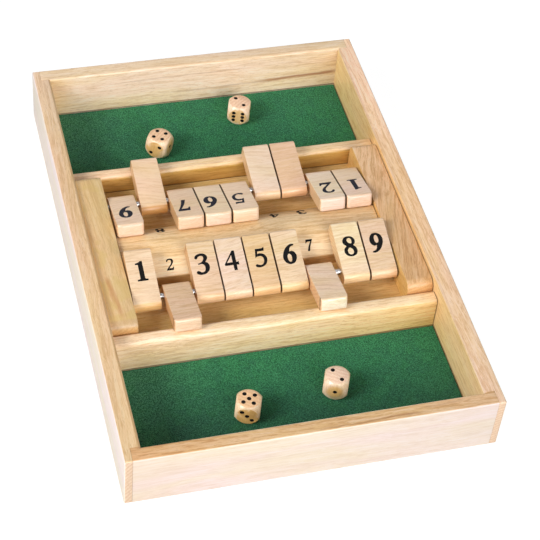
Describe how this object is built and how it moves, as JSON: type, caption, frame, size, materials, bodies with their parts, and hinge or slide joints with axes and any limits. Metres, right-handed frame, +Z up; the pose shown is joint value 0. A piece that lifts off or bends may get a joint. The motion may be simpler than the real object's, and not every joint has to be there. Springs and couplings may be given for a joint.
{
  "type": "shut the box game",
  "caption": "Wooden shut the box game for two players: an open box with felt dice trays and two facing rows of hinged number tiles that flip over on steel rods.",
  "frame": {"origin": "middle of the underside, on the table", "axes": "+Z up, +Y along the length towards the far player, +X to the near player's right"},
  "size_m": [0.24, 0.355, 0.0432],
  "materials": {
    "wall_wood": "clear matte lacquer",
    "base_wood": "bare plywood",
    "bridge_wood": "clear matte lacquer",
    "block_wood": "clear matte lacquer",
    "tile_wood": "clear satin lacquer, printed numbers",
    "die_wood": "clear lacquer, pips painted dark",
    "green_felt": "short flocked nap",
    "rod_steel": "bright drawn steel"
  },
  "bodies": {
    "box": {"left_wall": "wall_wood", "right_wall": "wall_wood", "near_wall": "wall_wood", "far_wall": "wall_wood", "base_panel": "base_wood", "near_felt": "green_felt", "far_felt": "green_felt", "near_rail": "bridge_wood", "far_rail": "bridge_wood", "bridge_deck": "bridge_wood", "number_beam": "bridge_wood", "left_block": "block_wood", "right_block": "block_wood", "near_rod": "rod_steel", "far_rod": "rod_steel"},
    "near_tile_1": {"near_tile_1": "tile_wood"},
    "near_tile_2": {"near_tile_2": "tile_wood"},
    "near_tile_3": {"near_tile_3": "tile_wood"},
    "near_tile_4": {"near_tile_4": "tile_wood"},
    "near_tile_5": {"near_tile_5": "tile_wood"},
    "near_tile_6": {"near_tile_6": "tile_wood"},
    "near_tile_7": {"near_tile_7": "tile_wood"},
    "near_tile_8": {"near_tile_8": "tile_wood"},
    "near_tile_9": {"near_tile_9": "tile_wood"},
    "far_tile_1": {"far_tile_1": "tile_wood"},
    "far_tile_2": {"far_tile_2": "tile_wood"},
    "far_tile_3": {"far_tile_3": "tile_wood"},
    "far_tile_4": {"far_tile_4": "tile_wood"},
    "far_tile_5": {"far_tile_5": "tile_wood"},
    "far_tile_6": {"far_tile_6": "tile_wood"},
    "far_tile_7": {"far_tile_7": "tile_wood"},
    "far_tile_8": {"far_tile_8": "tile_wood"},
    "far_tile_9": {"far_tile_9": "tile_wood"},
    "die_near_left": {"die_near_left": "die_wood"},
    "die_near_right": {"die_near_right": "die_wood"},
    "die_far_left": {"die_far_left": "die_wood"},
    "die_far_right": {"die_far_right": "die_wood"}
  },
  "joints": [
    {"name": "near_tile_1_hinge", "type": "hinge", "parent": "box", "child": "near_tile_1", "pos_m": [-0.08028, -0.0427, 0.0295], "axis": [1, 0, 0], "range_deg": [0, 152.6]},
    {"name": "near_tile_2_hinge", "type": "hinge", "parent": "box", "child": "near_tile_2", "pos_m": [-0.05917, -0.0427, 0.0295], "axis": [-1, 0, 0], "range_deg": [0, 152.6]},
    {"name": "near_tile_3_hinge", "type": "hinge", "parent": "box", "child": "near_tile_3", "pos_m": [-0.03861, -0.0427, 0.0295], "axis": [1, 0, 0], "range_deg": [0, 152.6]},
    {"name": "near_tile_4_hinge", "type": "hinge", "parent": "box", "child": "near_tile_4", "pos_m": [-0.01963, -0.0427, 0.0295], "axis": [1, 0, 0], "range_deg": [0, 152.6]},
    {"name": "near_tile_5_hinge", "type": "hinge", "parent": "box", "child": "near_tile_5", "pos_m": [-0.00065, -0.0427, 0.0295], "axis": [1, 0, 0], "range_deg": [0, 152.6]},
    {"name": "near_tile_6_hinge", "type": "hinge", "parent": "box", "child": "near_tile_6", "pos_m": [0.01842, -0.0427, 0.0295], "axis": [1, 0, 0], "range_deg": [0, 152.6]},
    {"name": "near_tile_7_hinge", "type": "hinge", "parent": "box", "child": "near_tile_7", "pos_m": [0.03758, -0.0427, 0.0295], "axis": [-1, 0, 0], "range_deg": [0, 152.6]},
    {"name": "near_tile_8_hinge", "type": "hinge", "parent": "box", "child": "near_tile_8", "pos_m": [0.06093, -0.0427, 0.0295], "axis": [1, 0, 0], "range_deg": [0, 152.6]},
    {"name": "near_tile_9_hinge", "type": "hinge", "parent": "box", "child": "near_tile_9", "pos_m": [0.08, -0.0427, 0.0295], "axis": [1, 0, 0], "range_deg": [0, 152.6]},
    {"name": "far_tile_1_hinge", "type": "hinge", "parent": "box", "child": "far_tile_1", "pos_m": [0.07955, 0.0427, 0.0295], "axis": [-1, 0, 0], "range_deg": [0, 152.6]},
    {"name": "far_tile_2_hinge", "type": "hinge", "parent": "box", "child": "far_tile_2", "pos_m": [0.06058, 0.0427, 0.0295], "axis": [-1, 0, 0], "range_deg": [0, 152.6]},
    {"name": "far_tile_3_hinge", "type": "hinge", "parent": "box", "child": "far_tile_3", "pos_m": [0.04023, 0.0427, 0.0295], "axis": [1, 0, 0], "range_deg": [0, 152.6]},
    {"name": "far_tile_4_hinge", "type": "hinge", "parent": "box", "child": "far_tile_4", "pos_m": [0.02117, 0.0427, 0.0295], "axis": [1, 0, 0], "range_deg": [0, 152.6]},
    {"name": "far_tile_5_hinge", "type": "hinge", "parent": "box", "child": "far_tile_5", "pos_m": [-0.00055, 0.0427, 0.0295], "axis": [-1, 0, 0], "range_deg": [0, 152.6]},
    {"name": "far_tile_6_hinge", "type": "hinge", "parent": "box", "child": "far_tile_6", "pos_m": [-0.01952, 0.0427, 0.0295], "axis": [-1, 0, 0], "range_deg": [0, 152.6]},
    {"name": "far_tile_7_hinge", "type": "hinge", "parent": "box", "child": "far_tile_7", "pos_m": [-0.0385, 0.0427, 0.0295], "axis": [-1, 0, 0], "range_deg": [0, 152.6]},
    {"name": "far_tile_8_hinge", "type": "hinge", "parent": "box", "child": "far_tile_8", "pos_m": [-0.05857, 0.0427, 0.0295], "axis": [1, 0, 0], "range_deg": [0, 152.6]},
    {"name": "far_tile_9_hinge", "type": "hinge", "parent": "box", "child": "far_tile_9", "pos_m": [-0.07955, 0.0427, 0.0295], "axis": [-1, 0, 0], "range_deg": [0, 152.6]},
    {"name": "die_near_left_lift", "type": "slide", "parent": "box", "child": "die_near_left", "axis": [0, 0, 1], "range_m": [0, 0.15]},
    {"name": "die_near_right_lift", "type": "slide", "parent": "box", "child": "die_near_right", "axis": [0, 0, 1], "range_m": [0, 0.15]},
    {"name": "die_far_left_lift", "type": "slide", "parent": "box", "child": "die_far_left", "axis": [0, 0, 1], "range_m": [0, 0.15]},
    {"name": "die_far_right_lift", "type": "slide", "parent": "box", "child": "die_far_right", "axis": [0, 0, 1], "range_m": [0, 0.15]}
  ]
}
